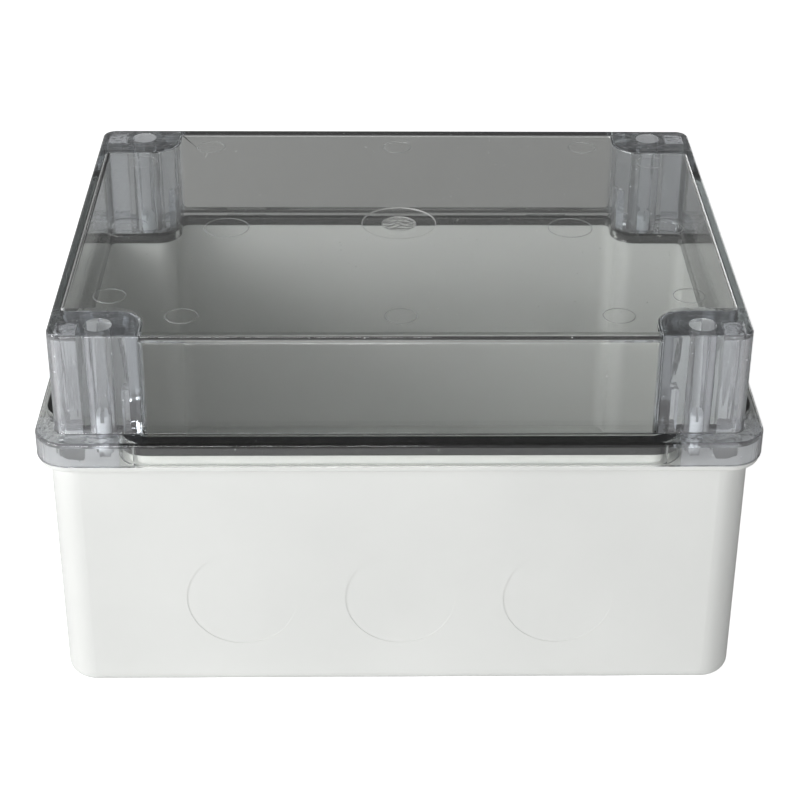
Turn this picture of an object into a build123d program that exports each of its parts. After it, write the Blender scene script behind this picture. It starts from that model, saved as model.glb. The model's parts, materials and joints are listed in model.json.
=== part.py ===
from build123d import *
import os

# A junction box with a grey moulded base and a deep clear lid, hinged along its rear long side.
# X runs along the long side, Y from the front to the hinge, Z up. The origin is the middle of the underside.

# Lid, outside
overall_height = 182.0
lid_length = 303.0
lid_width = 226.0
lid_wall = 3.0
lid_corner_radius = 6.5
top_plate = 3.0
top_edge_radius = 1.2

# Flange and skirt round the lid's foot
flange_top = 133.3
flange_plate = 2.9
flange_reach = 8.75
flange_corner_radius = 16.0
flange_edge_radius = 1.4
skirt_wall = 2.4
skirt_depth = 11.9
inner_rib_drop = 3.2
channel_rib = 1.6
channel_rib_drop = 8.4

# Corner blocks of the lid, with a screw well, a window pocket and a core slot in each
corner_block_length = 38.5
corner_block_width = 25.5
block_radius = 12.0
room_corner_radius = 3.0
screw_inset_x = 21.5
screw_inset_y = 10.0
well_radius = 6.0
well_floor = 131.4
well_boss_radius = 5.6
well_boss_bottom = 127.4
tube_wall = 2.5
shank_hole_radius = 3.5
core_slot_width = 3.2
core_slot_length = 11.0
core_slot_top = 154.0

# Marks that the mould leaves on the top plate
mark_depth = 0.3
small_mark_radius = 7.0
large_mark_radius = 10.4
plateau_mark_radius = 3.5
gate_disc_radius = 17.4
gate_core_radius = 8.0
gate_disc_depth = 0.5
gate_core_depth = 0.4
mark_row_inset_x = 56.5
mark_row_inset_y = 20.0
mark_side_inset_x = 23.5
mark_side_inset_y = 39.0
large_mark_inset = 70.5
large_mark_offset = 3.5

# Seal
seal_side_gap = 0.25
seal_seat_gap = 0.2
ridge_top = 126.4

# Base
base_overhang = 3.5
base_wall = 3.0
base_corner_radius = 14.0
base_foot_radius = 6.0
base_floor = 3.0
lip_inset = 1.0
lip_gap = 0.3
lip_thickness = 2.7
lip_edge_radius = 0.9

# Screw columns and wall-fixing pockets in the base's corners
column_top = 120.6
column_plate = 4.0
column_bore_radius = 6.5
fixing_pocket_length = 13.0
fixing_floor = 5.0
fixing_hole_radius = 3.0

# Knockout discs on the long walls, and the notches in the foot
knockout_radius = 25.0
knockout_depth = 0.2
knockout_height = 48.0
knockout_spacing = 72.0
foot_notch_length = 15.0
foot_notch_height = 1.0
foot_notch_reach = 9.0
foot_notch_inset = 56.0
foot_notch_slope = 60

# Bosses on the floor for a mounting plate
plate_boss_inset_x = 60.0
plate_boss_inset_y = 51.5
plate_boss_radius = 5.5
plate_boss_height = 8.0
pilot_radius = 1.8
pilot_depth = 9.0

# Hinges
hinge_inset = 71.5
hinge_reach = 6.0
knuckle_radius = 4.6
base_knuckle_length = 11.0
lid_knuckle_length = 21.2
knuckle_gap = 0.4
hinge_root_height = 17.0
hinge_arm_height = 7.5
hinge_arm_lift = 1.5
pin_radius = 2.0
pin_fixed_clearance = 0.02
pin_running_clearance = 0.08
pin_head_radius = 3.2
pin_head_thickness = 1.5
pin_tip_chamfer = 0.5

# Quarter-turn lid screws and the rings that hold them in the lid
head_radius = 5.3
head_height = 8.2
head_chamfer = 0.6
head_slot_width = 1.6
head_slot_depth = 2.6
head_seat_gap = 0.15
shank_radius = 3.2
bar_length = 10.4
bar_width = 3.4
bar_height = 3.2
bar_gap = 0.3
keyhole_gap = 0.4
bar_side_gap = 0.6
bar_front_gap = 1.5
bar_rear_gap = 0.9
ring_radius = 4.2
ring_thickness = 1.8
ring_gap = 0.2
ring_fit = 0.02

# One overrun serves every cut, and one small length tells corners apart
overrun = 5.0
touch = 0.01

# Places and sizes that follow from the ones above
block_x = lid_length / 2 - corner_block_length
block_y = lid_width / 2 - corner_block_width
screw_x = lid_length / 2 - screw_inset_x
screw_y = lid_width / 2 - screw_inset_y
flange_length = lid_length + 2 * flange_reach
flange_width = lid_width + 2 * flange_reach
plate_underside = flange_top - flange_plate
skirt_bottom = flange_top - skirt_depth
top_underside = overall_height - top_plate
channel_reach = lid_wall + flange_reach - skirt_wall
base_length = lid_length + 2 * base_overhang
base_width = lid_width + 2 * base_overhang
ridge_reach = lid_wall + base_overhang
lip_top = skirt_bottom - lip_gap
lip_bottom = lip_top - lip_thickness
hinge_x = lid_length / 2 - hinge_inset
hinge_y = flange_width / 2 + hinge_reach
hinge_z = skirt_bottom
hinge_length = 2 * base_knuckle_length + 2 * knuckle_gap + lid_knuckle_length
head_bottom = well_floor + head_seat_gap
column_plate_bottom = column_top - column_plate
bar_bottom = column_plate_bottom - bar_gap - bar_height
fixing_pocket_x = base_length / 2 - base_wall - fixing_pocket_length
fixing_x = fixing_pocket_x + fixing_pocket_length / 2
fixing_y = (block_y + ridge_reach + base_width / 2 - base_wall) / 2
core_slot_x = block_x + (lid_wall + channel_reach) / 2
window_x = screw_x + well_radius + tube_wall
window_y = block_y + channel_reach + channel_rib
plateau_mark_x = (window_x + lid_length / 2 - lid_wall) / 2
plateau_mark_y = (window_y + lid_width / 2 - lid_wall) / 2
mark_row_x = lid_length / 2 - mark_row_inset_x
mark_row_y = lid_width / 2 - mark_row_inset_y
mark_side_x = lid_length / 2 - mark_side_inset_x
mark_side_y = lid_width / 2 - mark_side_inset_y
large_mark_x = lid_length / 2 - large_mark_inset
plate_boss_x = base_length / 2 - plate_boss_inset_x
plate_boss_y = base_width / 2 - plate_boss_inset_y
foot_notch_spacing = base_length / 2 - foot_notch_inset
all_corners = {"front_left": (-1, -1), "front_right": (1, -1), "rear_left": (-1, 1), "rear_right": (1, 1)}


def room_outline(distance):
    """The rounded cross of the room inside the lid, grown outwards by a distance."""
    half_x = lid_length / 2 - lid_wall + distance
    half_y = lid_width / 2 - lid_wall + distance
    step_x = block_x + distance
    step_y = block_y + distance
    with BuildSketch() as outline:
        Rectangle(2 * half_x, 2 * step_y)
        Rectangle(2 * step_x, 2 * half_y)
        inward = [v for v in outline.vertices() if abs(v.X) < half_x - touch and abs(v.Y) < half_y - touch]
        fillet(inward, block_radius - distance)
        outward = [v for v in outline.vertices() if abs(abs(v.X) - half_x) < touch or abs(abs(v.Y) - half_y) < touch]
        fillet(outward, room_corner_radius + distance)
    return outline.sketch


def corner_areas(length, width, radius, from_x, from_y):
    """The four corner areas of a rounded rectangle that lie beyond two distances from its middle."""
    with BuildSketch() as areas:
        RectangleRounded(length, width, radius)
        Rectangle(2 * from_x, width + overrun, mode=Mode.SUBTRACT)
        Rectangle(length + overrun, 2 * from_y, mode=Mode.SUBTRACT)
    return areas.sketch


def all_four(x, y):
    """The same place in each of the four corners."""
    return [(side * x, end * y) for side, end in all_corners.values()]


lid_room = room_outline(0)
lid_rib_line = room_outline(lid_wall)
seal_inside = room_outline(lid_wall + seal_side_gap)
seal_outside = room_outline(channel_reach - seal_side_gap)
channel_inside = room_outline(channel_reach)
channel_outside = room_outline(channel_reach + channel_rib)
base_room = room_outline(ridge_reach - base_wall)
ridge_outside = room_outline(ridge_reach)
window_pockets = corner_areas(
    lid_length - 2 * lid_wall,
    lid_width - 2 * lid_wall,
    lid_corner_radius - lid_wall,
    window_x,
    window_y,
)
fixing_pockets = corner_areas(
    base_length - 2 * base_wall,
    base_width - 2 * base_wall,
    base_corner_radius - base_wall,
    fixing_pocket_x,
    block_y + ridge_reach,
)

# Hinge knuckles in profile, with Y across and Z up
with BuildSketch() as base_knuckle:
    with Locations((hinge_y, hinge_z)):
        Circle(knuckle_radius)
    with Locations((base_width / 2 - base_wall / 2, lip_top - hinge_root_height / 2)):
        Rectangle(base_wall, hinge_root_height)
    make_hull()
    # Above the lip only the round knuckle stays, so that the skirt can swing past it
    skirt_room = hinge_y - (base_width / 2 - base_wall)
    with Locations((hinge_y - skirt_room / 2, lip_top + knuckle_radius)):
        Rectangle(skirt_room, 2 * knuckle_radius, mode=Mode.SUBTRACT)
    with Locations((hinge_y, hinge_z)):
        Circle(knuckle_radius)

with BuildSketch() as lid_knuckle:
    with Locations((hinge_y, hinge_z)):
        Circle(knuckle_radius)
    with Locations((flange_width / 2 - skirt_wall / 2, skirt_bottom + hinge_arm_lift + hinge_arm_height / 2)):
        Rectangle(skirt_wall, hinge_arm_height)
    make_hull()

# Base: an open box with a sealing ridge, a lip, screw columns, knockout discs and hinge knuckles
with BuildPart() as base:
    with BuildSketch(Plane.XY.offset(lip_bottom)):
        RectangleRounded(
            flange_length - 2 * lip_inset, flange_width - 2 * lip_inset, flange_corner_radius - lip_inset
        )
    extrude(amount=lip_thickness)
    fillet(base.faces().sort_by(Axis.Z)[0].edges(), lip_edge_radius)
    with BuildSketch():
        RectangleRounded(base_length, base_width, base_corner_radius)
    extrude(amount=lip_top)
    fillet(base.faces().sort_by(Axis.Z)[0].edges(), base_foot_radius)
    with BuildSketch(Plane.XY.offset(lip_top - overrun)):
        add(ridge_outside)
    extrude(amount=ridge_top - lip_top + overrun)
    # Hinge knuckles on the rear wall, two to a hinge
    for middle in (-hinge_x, hinge_x):
        for start in (middle - hinge_length / 2, middle + hinge_length / 2 - base_knuckle_length):
            with BuildSketch(Plane.YZ.offset(start)):
                add(base_knuckle.sketch)
            extrude(amount=base_knuckle_length)
            with BuildSketch(Plane.YZ.offset(start - overrun)):
                with Locations((hinge_y, hinge_z)):
                    Circle(pin_radius + pin_fixed_clearance)
            extrude(amount=base_knuckle_length + 2 * overrun, mode=Mode.SUBTRACT)
    # The sealed room, and the pockets outside the seal in the corners
    with BuildSketch(Plane.XY.offset(base_floor)):
        add(base_room)
    extrude(amount=overall_height, mode=Mode.SUBTRACT)
    with BuildSketch(Plane.XY.offset(fixing_floor)):
        add(fixing_pockets)
    extrude(amount=overall_height, mode=Mode.SUBTRACT)
    with BuildSketch(Plane.XY.offset(column_top)):
        add(corner_areas(
            base_length - 2 * base_wall,
            base_width - 2 * base_wall,
            base_corner_radius - base_wall,
            block_x + ridge_reach,
            block_y + ridge_reach,
        ))
    extrude(amount=overall_height, mode=Mode.SUBTRACT)
    with BuildSketch():
        with Locations(*all_four(screw_x, screw_y)):
            Circle(column_bore_radius)
    extrude(amount=column_plate_bottom, mode=Mode.SUBTRACT)
    # Keyholes in the column plates, longer at the front, where shank and bar swing forward as the lid opens
    slot_length = bar_length + bar_front_gap + bar_rear_gap
    shank_hole = 2 * (shank_radius + keyhole_gap)
    with BuildSketch(Plane.XY.offset(column_plate_bottom - touch)):
        for x, y in all_four(screw_x, screw_y):
            with Locations((x, y - bar_front_gap / 2)):
                SlotOverall(shank_hole + bar_front_gap, shank_hole, rotation=90)
            with Locations((x, y - (bar_front_gap - bar_rear_gap) / 2)):
                Rectangle(bar_width + 2 * bar_side_gap, slot_length)
    extrude(amount=column_plate + overrun, mode=Mode.SUBTRACT)
    with BuildSketch():
        with Locations(*all_four(fixing_x, fixing_y)):
            Circle(fixing_hole_radius)
    extrude(amount=fixing_floor, mode=Mode.SUBTRACT)
    # Bosses for a mounting plate
    with BuildSketch(Plane.XY.offset(base_floor)):
        with Locations(*all_four(plate_boss_x, plate_boss_y)):
            Circle(plate_boss_radius)
            Circle(pilot_radius, mode=Mode.SUBTRACT)
    extrude(amount=plate_boss_height)
    with BuildSketch(Plane.XY.offset(base_floor + plate_boss_height)):
        with Locations(*all_four(plate_boss_x, plate_boss_y)):
            Circle(pilot_radius)
    extrude(amount=-pilot_depth, mode=Mode.SUBTRACT)
    # Knockouts, three on each long wall: discs set back by a hair, to be cut out for cable glands
    for facing in (-1, 1):
        long_wall = Plane((0, facing * base_width / 2, 0), x_dir=(1, 0, 0), z_dir=(0, facing, 0))
        with BuildSketch(long_wall):
            with Locations(*[(n * knockout_spacing, -facing * knockout_height) for n in (-1, 0, 1)]):
                Circle(knockout_radius)
        extrude(amount=-knockout_depth, mode=Mode.SUBTRACT)
        # Shallow notches with sloping ends in the foot of the long walls
        with BuildSketch(Plane.XZ.offset(-facing * (base_width / 2 - foot_notch_reach))):
            with Locations(*[(n * foot_notch_spacing, 0) for n in (-1, 0, 1)]):
                Trapezoid(foot_notch_length, 2 * foot_notch_height, foot_notch_slope)
        extrude(amount=-facing * (foot_notch_reach + overrun), mode=Mode.SUBTRACT)
base.part.label = "base_shell"

# Lid: a clear shell with a flange and skirt, corner blocks with screw wells, and hinge knuckles
with BuildPart() as lid:
    with BuildSketch(Plane.XY.offset(skirt_bottom)):
        RectangleRounded(flange_length, flange_width, flange_corner_radius)
    extrude(amount=skirt_depth)
    fillet(lid.faces().sort_by(Axis.Z)[-1].edges(), flange_edge_radius)
    for middle in (-hinge_x, hinge_x):
        start = middle - lid_knuckle_length / 2
        with BuildSketch(Plane.YZ.offset(start)):
            add(lid_knuckle.sketch)
        extrude(amount=lid_knuckle_length)
        with BuildSketch(Plane.YZ.offset(start - overrun)):
            with Locations((hinge_y, hinge_z)):
                Circle(pin_radius + pin_running_clearance)
        extrude(amount=lid_knuckle_length + 2 * overrun, mode=Mode.SUBTRACT)
    # Hollow of the skirt, then the ribs that guide the seal
    with BuildSketch(Plane.XY.offset(skirt_bottom)):
        RectangleRounded(
            flange_length - 2 * skirt_wall, flange_width - 2 * skirt_wall, flange_corner_radius - skirt_wall
        )
    extrude(amount=plate_underside - skirt_bottom, mode=Mode.SUBTRACT)
    with BuildSketch(Plane.XY.offset(plate_underside - channel_rib_drop)):
        add(channel_outside)
        add(channel_inside, mode=Mode.SUBTRACT)
    extrude(amount=channel_rib_drop + touch)
    with BuildSketch(Plane.XY.offset(plate_underside - inner_rib_drop)):
        add(lid_rib_line)
    extrude(amount=inner_rib_drop + touch)
    with BuildSketch(Plane.XY.offset(well_boss_bottom)):
        with Locations(*all_four(screw_x, screw_y)):
            Circle(well_boss_radius)
    extrude(amount=plate_underside - well_boss_bottom + touch)
    # The deep shell above the flange, its room and its corner pockets
    with BuildSketch(Plane.XY.offset(plate_underside)):
        RectangleRounded(lid_length, lid_width, lid_corner_radius)
    extrude(amount=overall_height - plate_underside)
    fillet(lid.faces().sort_by(Axis.Z)[-1].edges(), top_edge_radius)
    with BuildSketch(Plane.XY.offset(skirt_bottom - overrun)):
        add(lid_room)
    extrude(amount=top_underside - skirt_bottom + overrun, mode=Mode.SUBTRACT)
    with BuildSketch(Plane.XY.offset(skirt_bottom - overrun)):
        add(window_pockets)
    extrude(amount=top_underside - skirt_bottom + overrun, mode=Mode.SUBTRACT)
    with BuildSketch(Plane.XY.offset(plate_underside)):
        with Locations(*all_four(core_slot_x, screw_y)):
            Rectangle(core_slot_width, core_slot_length)
    extrude(amount=core_slot_top - plate_underside, mode=Mode.SUBTRACT)
    # Screw wells, and the holes in their floors
    with BuildSketch(Plane.XY.offset(well_floor)):
        with Locations(*all_four(screw_x, screw_y)):
            Circle(well_radius)
    extrude(amount=overall_height, mode=Mode.SUBTRACT)
    with BuildSketch(Plane.XY.offset(well_boss_bottom - overrun)):
        with Locations(*all_four(screw_x, screw_y)):
            Circle(shank_hole_radius)
    extrude(amount=well_floor, mode=Mode.SUBTRACT)
    # Faint marks of the mould under the top plate, and the gate disc on it
    with BuildSketch(Plane.XY.offset(top_underside)):
        with Locations(*all_four(mark_row_x, mark_row_y), (0, -mark_row_y), (0, mark_row_y)):
            Circle(small_mark_radius)
        with Locations(*all_four(mark_side_x, mark_side_y)):
            Circle(small_mark_radius)
        with Locations((-large_mark_x, -large_mark_offset), (large_mark_x, -large_mark_offset)):
            Circle(large_mark_radius)
        with Locations((-mark_side_x, -large_mark_offset), (mark_side_x, -large_mark_offset)):
            Circle(large_mark_radius)
        with Locations(*all_four(plateau_mark_x, plateau_mark_y)):
            Circle(plateau_mark_radius)
    extrude(amount=mark_depth, mode=Mode.SUBTRACT)
    with BuildSketch(Plane.XY.offset(overall_height)):
        Circle(gate_disc_radius)
    extrude(amount=-gate_disc_depth, mode=Mode.SUBTRACT)
    with BuildSketch(Plane.XY.offset(overall_height - gate_disc_depth)):
        Circle(gate_core_radius)
    extrude(amount=-gate_core_depth, mode=Mode.SUBTRACT)
lid.part.label = "lid_shell"

# Seal: a closed loop that follows the lid's room round the corner blocks
with BuildPart() as gasket:
    with BuildSketch(Plane.XY.offset(ridge_top + seal_seat_gap)):
        add(seal_outside)
        add(seal_inside, mode=Mode.SUBTRACT)
    extrude(amount=plate_underside - ridge_top - seal_seat_gap)
gasket.part.label = "lid_gasket"

os.makedirs("parts", exist_ok=True)
export_step(base.part, "parts/base_shell.step")
export_step(lid.part, "parts/lid_shell.step")
export_step(gasket.part, "parts/lid_gasket.step")

# Lid screws with a cross bar at the foot, and the rubber ring that keeps each in the lid
for corner, (side, end) in all_corners.items():
    place = (side * screw_x, end * screw_y)
    with BuildPart() as screw:
        with BuildSketch(Plane.XY.offset(head_bottom)):
            with Locations(place):
                Circle(head_radius)
        extrude(amount=head_height)
        chamfer(screw.faces().sort_by(Axis.Z)[-1].edges(), head_chamfer)
        with BuildSketch(Plane.XY.offset(head_bottom + head_height)):
            with Locations(place):
                Rectangle(head_slot_width, 2 * head_radius + overrun)
        extrude(amount=-head_slot_depth, mode=Mode.SUBTRACT)
        with BuildSketch(Plane.XY.offset(bar_bottom)):
            with Locations(place):
                Circle(shank_radius)
        extrude(amount=head_bottom - bar_bottom)
        with BuildSketch(Plane.XY.offset(bar_bottom)):
            with Locations(place):
                Rectangle(bar_width, bar_length)
        extrude(amount=bar_height)
    screw.part.label = f"lid_screw_{corner}"
    export_step(screw.part, f"parts/lid_screw_{corner}.step")

    with BuildPart() as ring:
        with BuildSketch(Plane.XY.offset(well_boss_bottom - ring_gap - ring_thickness)):
            with Locations(place):
                Circle(ring_radius)
                Circle(shank_radius + ring_fit, mode=Mode.SUBTRACT)
        extrude(amount=ring_thickness)
    ring.part.label = f"screw_ring_{corner}"
    export_step(ring.part, f"parts/screw_ring_{corner}.step")

# Hinge pins, with their heads at the outer ends
for hinge, side in {"left": -1, "right": 1}.items():
    outer_end = side * (hinge_x + hinge_length / 2)
    with BuildPart() as pin:
        with BuildSketch(Plane.YZ.offset(outer_end)):
            with Locations((hinge_y, hinge_z)):
                Circle(pin_radius)
        extrude(amount=-side * hinge_length)
        chamfer(pin.faces().sort_by(Axis.X)[-1 if side < 0 else 0].edges(), pin_tip_chamfer)
        with BuildSketch(Plane.YZ.offset(outer_end)):
            with Locations((hinge_y, hinge_z)):
                Circle(pin_head_radius)
        extrude(amount=side * pin_head_thickness)
    pin.part.label = f"hinge_pin_{hinge}"
    export_step(pin.part, f"parts/hinge_pin_{hinge}.step")
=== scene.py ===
# %% [markdown]
# # A junction box with a clear lid
# The object is a wall box for electrical work: a grey moulded base, a deep clear lid on two rear hinges, a
# black seal between them and four quarter-turn screws in wells. Its real shapes come from a CAD model, so
# this lesson is about finishes, glass-like plastic and light. Everything is in metres, in the CAD model's
# own frame: X along the long side, Y from the front to the hinges, Z up, and the middle of the underside
# at zero.

import json
from math import cos, radians, sin

import bpy
from mathutils import Matrix, Vector


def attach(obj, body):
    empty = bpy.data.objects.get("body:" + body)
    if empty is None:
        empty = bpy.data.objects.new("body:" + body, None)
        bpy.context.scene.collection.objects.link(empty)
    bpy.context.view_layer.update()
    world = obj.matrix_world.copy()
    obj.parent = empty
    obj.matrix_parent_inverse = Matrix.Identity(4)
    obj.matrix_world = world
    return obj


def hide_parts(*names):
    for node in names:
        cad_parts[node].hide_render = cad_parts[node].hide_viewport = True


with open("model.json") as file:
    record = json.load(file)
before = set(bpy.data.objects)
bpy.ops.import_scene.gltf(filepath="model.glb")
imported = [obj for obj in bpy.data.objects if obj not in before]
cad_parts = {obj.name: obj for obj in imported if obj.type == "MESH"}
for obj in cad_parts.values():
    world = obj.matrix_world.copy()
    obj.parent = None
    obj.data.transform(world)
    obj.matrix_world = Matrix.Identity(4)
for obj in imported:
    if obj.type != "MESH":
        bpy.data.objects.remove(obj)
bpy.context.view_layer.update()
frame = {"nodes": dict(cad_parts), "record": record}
bpy.ops.object.select_all(action="DESELECT")
scene = bpy.context.scene
print("nodes:", len(frame["nodes"]))

# %% [markdown]
# ## The camera
# A photograph fixes where its camera stood. Points whose real places are known, such as the corners of the
# lid and of the base, were compared with where they appear in the picture, and the camera was turned and
# moved until they agreed. What comes out is a place, three angles, a focal length in pixels and the pixel
# that the lens looks straight at. That pixel isn't the middle of the picture, and the camera's shift makes
# up for it.

# %% Set up the camera
photo_side = 800
sensor_width = 36.0
camera_place = Vector((-0.01039, -0.87385, 0.59004))
camera_pitch = radians(29.98)
camera_yaw = radians(1.67)
camera_roll = radians(-0.75)
focal_pixels = 2030.7
straight_pixel_x = 428.4
straight_pixel_y = 398.9

forward_x = sin(camera_yaw) * cos(camera_pitch)
forward_y = cos(camera_yaw) * cos(camera_pitch)
forward = Vector((forward_x, forward_y, -sin(camera_pitch)))
level_right = Vector((cos(camera_yaw), -sin(camera_yaw), 0))
level_down = forward.cross(level_right)
right = cos(camera_roll) * level_right + sin(camera_roll) * level_down
up = sin(camera_roll) * level_right - cos(camera_roll) * level_down
camera_turn = Matrix((right, up, -forward)).transposed().to_4x4()

camera_data = bpy.data.cameras.new("photo_camera")
camera_data.sensor_width = sensor_width
camera_data.lens = focal_pixels / photo_side * sensor_width
camera_data.shift_x = (photo_side / 2 - straight_pixel_x) / photo_side
camera_data.shift_y = (straight_pixel_y - photo_side / 2) / photo_side
camera = bpy.data.objects.new("photo_camera", camera_data)
camera.matrix_world = Matrix.Translation(camera_place) @ camera_turn
scene.collection.objects.link(camera)
scene.camera = camera
print(f"lens {camera_data.lens:.1f} mm, shift {camera_data.shift_x:.4f} {camera_data.shift_y:.4f}")

# %% [markdown]
# ## Node trees
# The world, the floor and every finish below are small graphs of nodes. A few helpers add the nodes that
# come back again and again. Each gives back the socket that holds its result, so that calls fit into one
# another like words in a sentence.

# %% Helpers for node trees
def new_finish(name):
    """A material with its tree and Principled shader."""
    finish = bpy.data.materials.new(name)
    finish.use_nodes = True
    return finish, finish.node_tree, finish.node_tree.nodes["Principled BSDF"]


def maths(tree, operation, first, second=None, third=None):
    """One Math node, with a number or a socket for each input."""
    node = tree.nodes.new("ShaderNodeMath")
    node.operation = operation
    for socket, value in zip(node.inputs, (first, second, third)):
        if value is None:
            continue
        if isinstance(value, (int, float)):
            socket.default_value = value
        else:
            tree.links.new(value, socket)
    return node.outputs["Value"]


def spread(tree, value, low, high, at_low=0.3, at_high=0.7):
    """The value from at_low to at_high, laid out from low to high."""
    node = tree.nodes.new("ShaderNodeMapRange")
    node.inputs["From Min"].default_value = at_low
    node.inputs["From Max"].default_value = at_high
    node.inputs["To Min"].default_value = low
    node.inputs["To Max"].default_value = high
    tree.links.new(value, node.inputs["Value"])
    return node.outputs["Result"]


def between(tree, factor, first, second):
    """A colour between two, by a factor."""
    node = tree.nodes.new("ShaderNodeMix")
    node.data_type = "RGBA"
    node.inputs["A"].default_value = (*first, 1)
    node.inputs["B"].default_value = (*second, 1)
    tree.links.new(factor, node.inputs["Factor"])
    return node.outputs["Result"]


def place_parts(tree, kind="Object"):
    """X, Y and Z of one kind of coordinates, each as a socket."""
    node = tree.nodes.new("ShaderNodeSeparateXYZ")
    tree.links.new(tree.nodes.new("ShaderNodeTexCoord").outputs[kind], node.inputs["Vector"])
    return node.outputs["X"], node.outputs["Y"], node.outputs["Z"]


print("tree helpers ready")

# %% [markdown]
# ## Light
# The photograph was taken in a bright room with pale walls: light comes from low down all round, and less
# from above. One sees that on the object. The grey front is bright, the inside is dim, and the thick clear
# corners, which gather light from the sides, shine. A world that is bright near the horizon and quieter
# overhead does the same. Large lamps at the left and in front add the direction, a narrow strip at the
# right draws a soft line like a window's, and a weak lamp behind lifts the far side.
#
# The picture's background is whiter than the room round the object was, as one sees through the lid. So
# rays that come straight from the camera meet a white world. Rays that were thrown back by a gloss or went
# through the clear plastic meet only a small share of that white, and all other rays meet the real room.

# %% How white the surroundings look to a ray
white_in_glass = 0.045


def white_share(tree):
    """How much of the white background a ray meets: all from the camera, a little by way of glass."""
    path = tree.nodes.new("ShaderNodeLightPath")
    by_glass = maths(tree, "MAXIMUM", path.outputs["Is Glossy Ray"], path.outputs["Is Transmission Ray"])
    share = maths(tree, "MULTIPLY_ADD", by_glass, white_in_glass, path.outputs["Is Camera Ray"])
    share.node.use_clamp = True
    return share


print("share of the white behind clear plastic:", white_in_glass)

# %% Make the world
horizon_level = 1.15
overhead_level = 0.06
horizon_band_top = 0.55
front_share = 1.0
back_share = 0.65
front_until = -0.6
back_from = 0.8
white_level = 1.0

world = bpy.data.worlds.new("studio")
scene.world = world
world.use_nodes = True
tree = world.node_tree
background = tree.nodes["Background"]
sky_y, sky_z = place_parts(tree, "Generated")[1:]
fall = spread(tree, sky_z, horizon_level, overhead_level, at_low=0.0, at_high=horizon_band_top)
fall.node.interpolation_type = "SMOOTHSTEP"
side = spread(tree, sky_y, front_share, back_share, at_low=front_until, at_high=back_from)
strength = tree.nodes.new("ShaderNodeMix")
tree.links.new(white_share(tree), strength.inputs["Factor"])
tree.links.new(maths(tree, "MULTIPLY", fall, side), strength.inputs["A"])
strength.inputs["B"].default_value = white_level
tree.links.new(strength.outputs["Result"], background.inputs["Strength"])
background.inputs["Color"].default_value = (1, 1, 1, 1)
print("world level", horizon_level, "at the horizon,", overhead_level, "overhead")

# %% [markdown]
# Light that reaches a surface through a refracting wall is called a caustic, and most of what lies under
# this lid is lit that way. So refractive caustics stay on. The world isn't sampled as a lamp, because a
# ray that aims at it can't turn at the plastic. The rays find it by themselves, and many bounces let them
# pass several clear walls in a row.

# %% Let light through clear walls
most_bounces = 24
most_clear_hits = 16
brightest_indirect = 6.0

scene.view_settings.view_transform = "Standard"
scene.cycles.max_bounces = most_bounces
scene.cycles.transmission_bounces = most_bounces
scene.cycles.transparent_max_bounces = most_clear_hits
scene.cycles.sample_clamp_indirect = brightest_indirect
scene.cycles.caustics_refractive = True
scene.cycles.caustics_reflective = False
world.cycles.sampling_method = "NONE"
scene.cycles.use_denoising = True
scene.cycles.denoiser = "OPENIMAGEDENOISE"
print("bounces", most_bounces)

# %% Hang the lamps
lamp_target = Vector((0, 0, 0.1))


def soft_lamp(name, place, width, height, power):
    """A rectangular lamp that faces the object."""
    lamp = bpy.data.lights.new(name, "AREA")
    lamp.shape = "RECTANGLE"
    lamp.size = width
    lamp.size_y = height
    lamp.energy = power
    holder = bpy.data.objects.new(name, lamp)
    turn = (lamp_target - place).to_track_quat("-Z", "Y").to_matrix().to_4x4()
    holder.matrix_world = Matrix.Translation(place) @ turn
    scene.collection.objects.link(holder)
    print(f"{name}: {power} W at {(place - lamp_target).length:.2f} m")


soft_lamp("left_lamp", Vector((-1.8, -0.95, 0.80)), width=1.0, height=0.8, power=28)
soft_lamp("front_lamp", Vector((-0.6, -2.3, 0.40)), width=1.4, height=0.5, power=18)
soft_lamp("window_strip", Vector((0.9, -1.7, 0.45)), width=0.09, height=1.0, power=1.4)
soft_lamp("back_lamp", Vector((1.2, 2.0, 0.50)), width=1.2, height=0.6, power=5)

# %% [markdown]
# ## The floor
# The floor is a plain pale sheet. It is a real surface, so it catches the object's shadow and throws light
# back up onto the base. For rays from the camera it is nearly white, and for all others it has the tone of
# the real table, with the same small share of white for rays that come by way of glass.

# %% Lay the floor
floor_side = 12.0
floor_white = (0.96, 0.96, 0.96)
floor_real = (0.80, 0.80, 0.80)
floor_glow = 0.85
floor_roughness = 0.9
floor_gloss = 0.1

bpy.ops.mesh.primitive_plane_add(size=floor_side, location=(0, 0, 0))
floor = bpy.context.active_object
floor.name = "floor"
floor_finish, tree, shader = new_finish("floor_paper")
shader.inputs["Roughness"].default_value = floor_roughness
shader.inputs["Specular IOR Level"].default_value = floor_gloss
white = white_share(tree)
tree.links.new(between(tree, white, floor_real, floor_white), shader.inputs["Base Color"])
tree.links.new(maths(tree, "MULTIPLY", white, floor_glow), shader.inputs["Emission Strength"])
shader.inputs["Emission Color"].default_value = (1, 1, 1, 1)
floor.data.materials.append(floor_finish)
bpy.ops.object.select_all(action="DESELECT")
print("floor", floor_side, "m")

# %% [markdown]
# ## The clear lid
# The CAD model's lid has the right walls, blocks and wells, but its inner edges are sharp, as a drawing
# leaves them. A real moulding has a small round everywhere, because sharp steel in a mould wears and sharp
# plastic cracks. On clear plastic these rounds are what one sees first: each is a small lens, and the row
# of light and dark lines along the lid's top edge comes from the round between its ceiling and its walls.
#
# The CAD node keeps its mesh. A copy of that mesh takes its place in the picture: it is merged, because it
# came as loose triangles, its flat faces are joined again, and then one kind of edge after the other is
# found by its place and bevelled.

# %% Copy the lid and join its faces
import bmesh

merge_distance = 0.000002
flat_within = radians(0.2)

lid_node = frame["nodes"]["lid_shell"]
clear_lid = bpy.data.objects.new("clear_lid", lid_node.data.copy())
scene.collection.objects.link(clear_lid)


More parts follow.
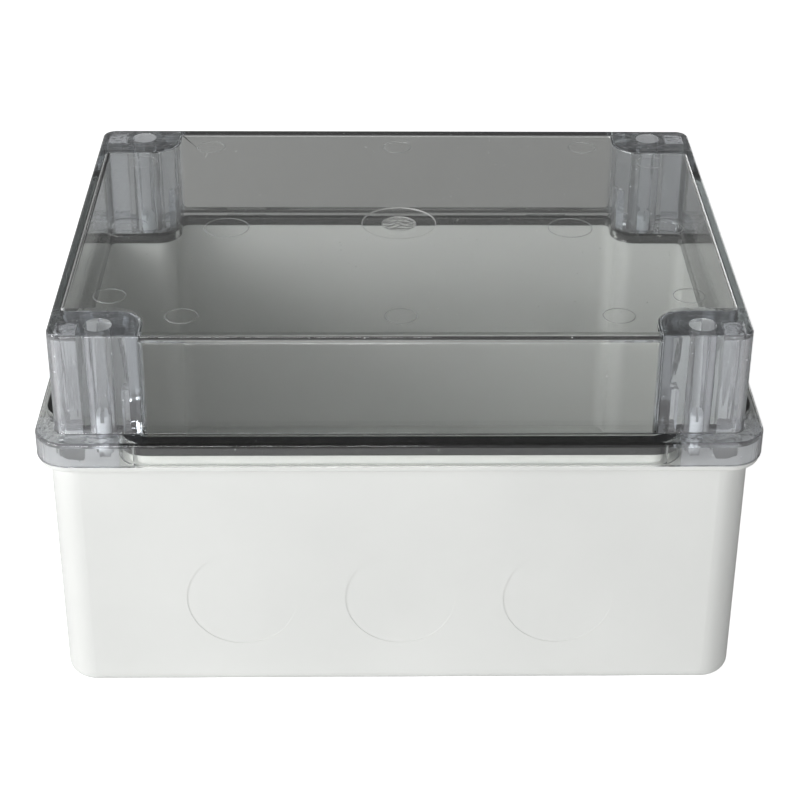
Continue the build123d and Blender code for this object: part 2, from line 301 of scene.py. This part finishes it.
def only(piece):
    """Select one piece and make it the active one."""
    bpy.ops.object.select_all(action="DESELECT")
    piece.select_set(True)
    bpy.context.view_layer.objects.active = piece


only(clear_lid)
if clear_lid.data.has_custom_normals:
    bpy.ops.mesh.customdata_custom_splitnormals_clear()
bpy.ops.object.mode_set(mode="EDIT")
bpy.ops.mesh.select_all(action="SELECT")
bpy.ops.mesh.remove_doubles(threshold=merge_distance)
bpy.ops.mesh.dissolve_limited(angle_limit=flat_within)
bpy.ops.object.mode_set(mode="OBJECT")
print("faces after joining:", len(clear_lid.data.polygons))

# %% A tool that rounds chosen edges
sharp = radians(50)


def round_edges(piece, width, steps, wanted):
    """Bevel the sharp edges that a test on their two ends and on their faces' middles picks."""
    only(piece)
    bpy.ops.object.mode_set(mode="EDIT")
    bpy.ops.mesh.select_all(action="DESELECT")
    bpy.ops.mesh.select_mode(type="EDGE")
    shape = bmesh.from_edit_mesh(piece.data)
    count = 0
    for edge in shape.edges:
        if len(edge.link_faces) != 2 or edge.calc_face_angle() < sharp:
            continue
        first, second = edge.verts
        faces = [face.calc_center_median() for face in edge.link_faces]
        if wanted(first.co, second.co, faces):
            edge.select = True
            count += 1
    shape.select_flush_mode()
    bmesh.update_edit_mesh(piece.data)
    bpy.ops.mesh.bevel(offset=width, segments=steps, profile=0.5, clamp_overlap=True)
    bpy.ops.object.mode_set(mode="OBJECT")
    print(count, "edges rounded by", width * 1000, "mm")


print("edges count as sharp from", round(sharp, 3), "radians")

# %% Tests that tell the lid's edges apart
near = 0.00002
clearly = 0.001
top_face = 0.182
ceiling = 0.179
flange_face = 0.1333
skirt_foot = 0.1214
window_from_x = 0.138
window_from_y = 0.098
skirt_half_length = 0.160
skirt_half_width = 0.1215
outermost_share = 0.995


def at_height(first, second, height):
    """Whether both ends lie at a height."""
    return abs(first.z - height) < near and abs(second.z - height) < near


def goes_down(faces, height):
    """Whether one of the faces lies clearly below a height."""
    return min(face.z for face in faces) < height - clearly


def goes_up(faces, height):
    """Whether one of the faces lies clearly above a height."""
    return max(face.z for face in faces) > height + clearly


def in_window(place):
    """Whether a place is on a window pocket, the hollow beside a screw well at the lid's corner."""
    return abs(place.x) > window_from_x and abs(place.y) > window_from_y


def under_ceiling(first, second, faces):
    """The edge between the ceiling and the walls."""
    return at_height(first, second, ceiling) and not in_window(first) and goes_down(faces, ceiling)


def under_window(first, second, faces):
    """The edge between a window pocket's ceiling and its walls."""
    return at_height(first, second, ceiling) and in_window(first) and goes_down(faces, ceiling)


def wall_foot(first, second, faces):
    """The edge where the walls stand on the flange."""
    return at_height(first, second, flange_face) and goes_up(faces, flange_face)


def skirt_rim(first, second, faces):
    """The outer edge of the skirt's foot."""
    share = max(abs(first.x) / skirt_half_length, abs(first.y) / skirt_half_width)
    return at_height(first, second, skirt_foot) and share > outermost_share


def top_rim(first, second, faces):
    """The edges of the top face, round the plate and round the wells."""
    return at_height(first, second, top_face) and goes_down(faces, top_face)


print("lid from", skirt_foot, "to", top_face, "m")

# %% Round the lid's edges
round_edges(clear_lid, width=0.0024, steps=4, wanted=under_ceiling)
round_edges(clear_lid, width=0.0012, steps=3, wanted=under_window)
round_edges(clear_lid, width=0.0008, steps=3, wanted=wall_foot)
round_edges(clear_lid, width=0.0010, steps=3, wanted=skirt_rim)
round_edges(clear_lid, width=0.0003, steps=2, wanted=top_rim)

# %% [markdown]
# Smooth shading lets a flat face lean towards the rounds beside it, and on a large clear plate that shows
# as broad cross-shaped streaks. The Weighted Normal modifier lets the largest faces decide, so the plate
# stays flat and only the rounds turn.

# %% Smooth the rounds and keep the faces flat
smooth_below = radians(32)
large_face_weight = 100

only(clear_lid)
bpy.ops.object.shade_smooth_by_angle(angle=smooth_below)
flat = clear_lid.modifiers.new("keep_faces_flat", "WEIGHTED_NORMAL")
flat.keep_sharp = True
flat.weight = large_face_weight
bpy.ops.object.modifier_apply(modifier=flat.name)
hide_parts("lid_shell")
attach(clear_lid, "lid")
bpy.ops.object.select_all(action="DESELECT")
print("clear_lid has", len(clear_lid.data.polygons), "faces")

# %% [markdown]
# ## Finishes
# A moulded plastic is never one flat colour. It has a fine grain from the mould and slow clouds in its
# tone and its gloss. Each finish below is a node tree on a Principled shader. The patterns read Object
# coordinates, which are metres here, so a scale of 1000 means a pattern of about a millimetre.

# %% Helpers for patterns and relief
def noise(tree, scale, detail, stretch=(1, 1, 1)):
    """Noise on Object coordinates, stretched by a Mapping node where it isn't even."""
    place = tree.nodes.new("ShaderNodeTexCoord").outputs["Object"]
    if stretch != (1, 1, 1):
        mapping = tree.nodes.new("ShaderNodeMapping")
        mapping.inputs["Scale"].default_value = stretch
        tree.links.new(place, mapping.inputs["Vector"])
        place = mapping.outputs["Vector"]
    node = tree.nodes.new("ShaderNodeTexNoise")
    node.inputs["Scale"].default_value = scale
    node.inputs["Detail"].default_value = detail
    tree.links.new(place, node.inputs["Vector"])
    return node.outputs["Fac"]


def relief(tree, shader, height, depth, strength=1.0, under=None):
    """A bump of that depth in metres, on top of another one if there is one."""
    node = tree.nodes.new("ShaderNodeBump")
    node.inputs["Strength"].default_value = strength
    node.inputs["Distance"].default_value = depth
    tree.links.new(height, node.inputs["Height"])
    if under is not None:
        tree.links.new(under, node.inputs["Normal"])
    tree.links.new(node.outputs["Normal"], shader.inputs["Normal"])
    return node.outputs["Normal"]


print("pattern helpers ready")

# %% Grey moulded plastic for the base
base_dark = (0.715, 0.725, 0.708)
base_light = (0.75, 0.76, 0.742)

base_plastic, tree, shader = new_finish("base_plastic")
clouds = spread(tree, noise(tree, scale=14, detail=4), low=0, high=1)
tree.links.new(between(tree, clouds, base_dark, base_light), shader.inputs["Base Color"])
sheen = spread(tree, noise(tree, scale=60, detail=5), low=0.34, high=0.50)
tree.links.new(sheen, shader.inputs["Roughness"])
shader.inputs["Specular IOR Level"].default_value = 0.5
grain = relief(tree, shader, noise(tree, scale=2600, detail=2), depth=0.00002, strength=0.35)
relief(tree, shader, noise(tree, scale=35, detail=2), depth=0.0006, strength=0.12, under=grain)
print("made", base_plastic.name)

# %% [markdown]
# Clear polycarbonate is not quite clear. It scatters a few percent of the light, more where the moulding
# is thick or where the mould's inserts left a fine matt line. A Principled shader does both in one: with
# the transmission at 1 it is clean glass, and each hundredth below 1 adds a little white haze. So haze is
# worked out from the place on the lid, and the transmission is what is left. The corner blocks are hazier
# than the walls, the outlines of the moulding marks are hazier still, and the grains of dust are the
# haziest.

# %% Helpers for places on the lid
def distance_to(tree, x, y, centre_x, centre_y):
    """How far a place is from a centre, seen from above."""
    off_x = maths(tree, "SUBTRACT", x, centre_x)
    off_y = maths(tree, "SUBTRACT", y, centre_y)
    squares = maths(tree, "MULTIPLY_ADD", off_x, off_x, maths(tree, "MULTIPLY", off_y, off_y))
    return maths(tree, "SQRT", squares)


def ring_line(tree, distance, radius, line_width):
    """One on a circle's line and zero off it."""
    return maths(tree, "COMPARE", distance, radius, line_width / 2)


def all_of(tree, *conditions):
    """One where all the conditions are one."""
    result = conditions[0]
    for condition in conditions[1:]:
        result = maths(tree, "MULTIPLY", result, condition)
    return result


def any_of(tree, *conditions):
    """One where one of the conditions is one."""
    result = conditions[0]
    for condition in conditions[1:]:
        result = maths(tree, "MAXIMUM", result, condition)
    return result


print("place helpers ready")

# %% [markdown]
# The places that the haze follows are those of the moulding: the corner blocks have a rounded corner of 12
# mm towards the room, the flange's corners lie beyond the seal, and the marks are circles on the top
# plate. The lid is alike left and right, and nearly alike front and rear, so most places are given once,
# on the absolute values of X and Y.

# %% Find the corners of the lid
block_x = 0.113
block_y = 0.0875
block_radius = 0.012
mask_margin = 0.0003
seal_end_x = 0.1223
seal_end_y = 0.0968
flange_top = 0.1334

clear_plastic, tree, shader = new_finish("clear_plastic")
x, y, z = place_parts(tree)
out_x = maths(tree, "ABSOLUTE", x)
out_y = maths(tree, "ABSOLUTE", y)
short_x = maths(tree, "MAXIMUM", maths(tree, "SUBTRACT", block_x + block_radius, out_x), 0.0)
short_y = maths(tree, "MAXIMUM", maths(tree, "SUBTRACT", block_y + block_radius, out_y), 0.0)
from_block = distance_to(tree, short_x, short_y, 0, 0)
in_block = maths(tree, "LESS_THAN", from_block, block_radius + mask_margin)
above_flange = maths(tree, "GREATER_THAN", z, flange_top)
beyond_seal_x = maths(tree, "GREATER_THAN", out_x, seal_end_x)
beyond_seal_y = maths(tree, "GREATER_THAN", out_y, seal_end_y)
beyond_seal = all_of(tree, beyond_seal_x, beyond_seal_y)
in_corner = any_of(tree, all_of(tree, in_block, above_flange), beyond_seal)
print("corner blocks from", block_x, block_y)

# %% Draw the moulding marks under the top plate
plate_middle = 0.1805
plate_bottom = 0.1786
mark_line = 0.0005
small_radius = 0.007
right_radius = 0.0065
large_radius = 0.0104
row_x = 0.095
row_y = 0.093
side_x = 0.128
side_y = 0.074
large_x = 0.081
middle_y = -0.0035

marks = any_of(
    tree,
    ring_line(tree, distance_to(tree, out_x, out_y, row_x, row_y), small_radius, mark_line),
    ring_line(tree, distance_to(tree, out_x, out_y, side_x, side_y), small_radius, mark_line),
    ring_line(tree, distance_to(tree, out_x, out_y, 0, row_y), small_radius, mark_line),
    ring_line(tree, distance_to(tree, out_x, y, large_x, middle_y), large_radius, mark_line),
    ring_line(tree, distance_to(tree, x, y, side_x, middle_y), right_radius, mark_line),
)
below_middle = maths(tree, "LESS_THAN", z, plate_middle)
above_bottom = maths(tree, "GREATER_THAN", z, plate_bottom)
marks_below = all_of(tree, marks, below_middle, above_bottom)
print("mark lines", mark_line * 1000, "mm wide")

# %% Draw the gate where the plastic came in
gate_disc_radius = 0.0174
gate_core_radius = 0.008

above_middle = maths(tree, "GREATER_THAN", z, plate_middle)
from_gate = distance_to(tree, x, y, 0, 0)
disc_line = ring_line(tree, from_gate, gate_disc_radius, mark_line)
core_line = ring_line(tree, from_gate, gate_core_radius, mark_line)
gate_lines = all_of(tree, any_of(tree, disc_line, core_line), above_middle)
in_disc = all_of(tree, maths(tree, "LESS_THAN", from_gate, gate_disc_radius), above_middle)
in_core = all_of(tree, maths(tree, "LESS_THAN", from_gate, gate_core_radius), above_middle)
lines = any_of(tree, marks_below, gate_lines)
print("gate disc", gate_disc_radius * 2000, "mm across")

# %% Sprinkle a little dust
dust_scale = 250
dust_size = 0.08
dust_share = 0.25

grains = tree.nodes.new("ShaderNodeTexVoronoi")
grains.inputs["Scale"].default_value = dust_scale
tree.links.new(tree.nodes.new("ShaderNodeTexCoord").outputs["Object"], grains.inputs["Vector"])
chance = tree.nodes.new("ShaderNodeSeparateColor")
tree.links.new(grains.outputs["Color"], chance.inputs["Color"])
is_small = maths(tree, "LESS_THAN", grains.outputs["Distance"], dust_size)
is_chosen = maths(tree, "LESS_THAN", chance.outputs["Red"], dust_share)
dust = all_of(tree, is_small, is_chosen)
print("dust in", dust_share, "of the cells")

# %% Add up the haze of the clear plastic
wall_haze = 0.013
block_haze = 0.10
core_haze = 0.015
disc_haze = 0.035
line_haze = 0.40
dust_haze = 0.70
wall_tint = (0.975, 0.98, 0.965)
block_tint = (0.95, 0.96, 0.985)

haze = maths(tree, "MULTIPLY_ADD", in_corner, block_haze - wall_haze, wall_haze)
for where, more in ((in_core, core_haze), (in_disc, disc_haze), (lines, line_haze), (dust, dust_haze)):
    haze = maths(tree, "MULTIPLY_ADD", where, more, haze)
tree.links.new(maths(tree, "SUBTRACT", 1.0, haze), shader.inputs["Transmission Weight"])
tree.links.new(between(tree, in_corner, wall_tint, block_tint), shader.inputs["Base Color"])
shader.inputs["IOR"].default_value = 1.585
shader.inputs["Roughness"].default_value = 0.02
print("haze", wall_haze, "in the walls and", block_haze, "in the blocks")

# %% Give the clear plastic its relief
flow_scale = 260
flow_stretch = (1, 1, 0.05)
flow_depth = 0.00045
line_height = 0.35
swirl_scale = 420
swirl_share = 0.4

flow = maths(tree, "MULTIPLY", noise(tree, flow_scale, detail=2, stretch=flow_stretch), in_corner)
core_share = maths(tree, "MULTIPLY", in_core, swirl_share)
swirl = maths(tree, "MULTIPLY", noise(tree, swirl_scale, detail=3), core_share)
raised_lines = maths(tree, "MULTIPLY", lines, line_height)
forms = maths(tree, "ADD", flow, maths(tree, "ADD", swirl, raised_lines))
relief(tree, shader, forms, flow_depth)
print("flow lines", flow_depth * 1000, "mm deep")

# %% [markdown]
# Two things are left. Thick clear plastic takes up a little light, more of the red than of the blue, which
# a volume does. And the ray that asks whether a lamp is in sight can't turn at a refracting wall, so the
# wall would throw a full shadow. For such a ray, and for no other, the lid is a plain transparent pane.

# %% Tone in the depth, and a pane for shadow rays
depth_tone = (0.0, 0.10, 0.16, 1)
depth_density = 11.0
pane_tone = (0.80, 0.80, 0.80, 1)

output = tree.nodes["Material Output"]
absorb = tree.nodes.new("ShaderNodeVolumeAbsorption")
absorb.inputs["Color"].default_value = depth_tone
absorb.inputs["Density"].default_value = depth_density
tree.links.new(absorb.outputs["Volume"], output.inputs["Volume"])
path = tree.nodes.new("ShaderNodeLightPath")
pane = tree.nodes.new("ShaderNodeBsdfTransparent")
pane.inputs["Color"].default_value = pane_tone
choose = tree.nodes.new("ShaderNodeMixShader")
tree.links.new(path.outputs["Is Shadow Ray"], choose.inputs["Fac"])
tree.links.new(shader.outputs["BSDF"], choose.inputs[1])
tree.links.new(pane.outputs["BSDF"], choose.inputs[2])
tree.links.new(choose.outputs["Shader"], output.inputs["Surface"])
print("made", clear_plastic.name)

# %% [markdown]
# The small pieces are simpler. Rubber is nearly black with a rough grain, the screws are a grey plastic
# with more gloss than the base, and the hinge pins are drawn steel, with fine lines along their length.

# %% Rubber for the seal and the rings
rubber_dark = (0.018, 0.018, 0.019)
rubber_light = (0.036, 0.036, 0.038)

seal_rubber, tree, shader = new_finish("seal_rubber")
clouds = noise(tree, scale=300, detail=4)
tree.links.new(between(tree, clouds, rubber_dark, rubber_light), shader.inputs["Base Color"])
sheen = spread(tree, noise(tree, scale=120, detail=3), low=0.5, high=0.72)
tree.links.new(sheen, shader.inputs["Roughness"])
relief(tree, shader, noise(tree, scale=1800, detail=3), depth=0.00004, strength=0.5)
ring_rubber = seal_rubber.copy()
ring_rubber.name = "ring_rubber"
print("made", seal_rubber.name, "and", ring_rubber.name)

# %% Plastic for the screws
screw_dark = (0.56, 0.58, 0.59)
screw_light = (0.66, 0.68, 0.69)

screw_plastic, tree, shader = new_finish("screw_plastic")
clouds = noise(tree, scale=90, detail=4)
tree.links.new(between(tree, clouds, screw_dark, screw_light), shader.inputs["Base Color"])
sheen = spread(tree, noise(tree, scale=200, detail=3), low=0.25, high=0.42)
tree.links.new(sheen, shader.inputs["Roughness"])
relief(tree, shader, noise(tree, scale=2400, detail=2), depth=0.00002, strength=0.4)
print("made", screw_plastic.name)

# %% Steel for the hinge pins
steel_dark = (0.50, 0.50, 0.51)
steel_light = (0.66, 0.66, 0.67)

pin_steel, tree, shader = new_finish("pin_steel")
shader.inputs["Metallic"].default_value = 1.0
brush = noise(tree, scale=900, detail=4, stretch=(0.04, 1, 1))
tree.links.new(between(tree, brush, steel_dark, steel_light), shader.inputs["Base Color"])
tree.links.new(spread(tree, brush, low=0.24, high=0.42), shader.inputs["Roughness"])
relief(tree, shader, brush, depth=0.00002, strength=0.5)
print("made", pin_steel.name)

# %% Hand the finishes out
finishes = {
    "base_plastic": base_plastic,
    "clear_plastic": clear_plastic,
    "seal_rubber": seal_rubber,
    "screw_plastic": screw_plastic,
    "ring_rubber": ring_rubber,
    "pin_steel": pin_steel,
}
for subpart in frame["record"]["subparts"]:
    node = frame["nodes"][subpart["node"]]
    node.data.materials.clear()
    node.data.materials.append(finishes[subpart["material_slot"]])
    print(subpart["node"], "gets", subpart["material_slot"])

clear_lid.data.materials.clear()
clear_lid.data.materials.append(clear_plastic)
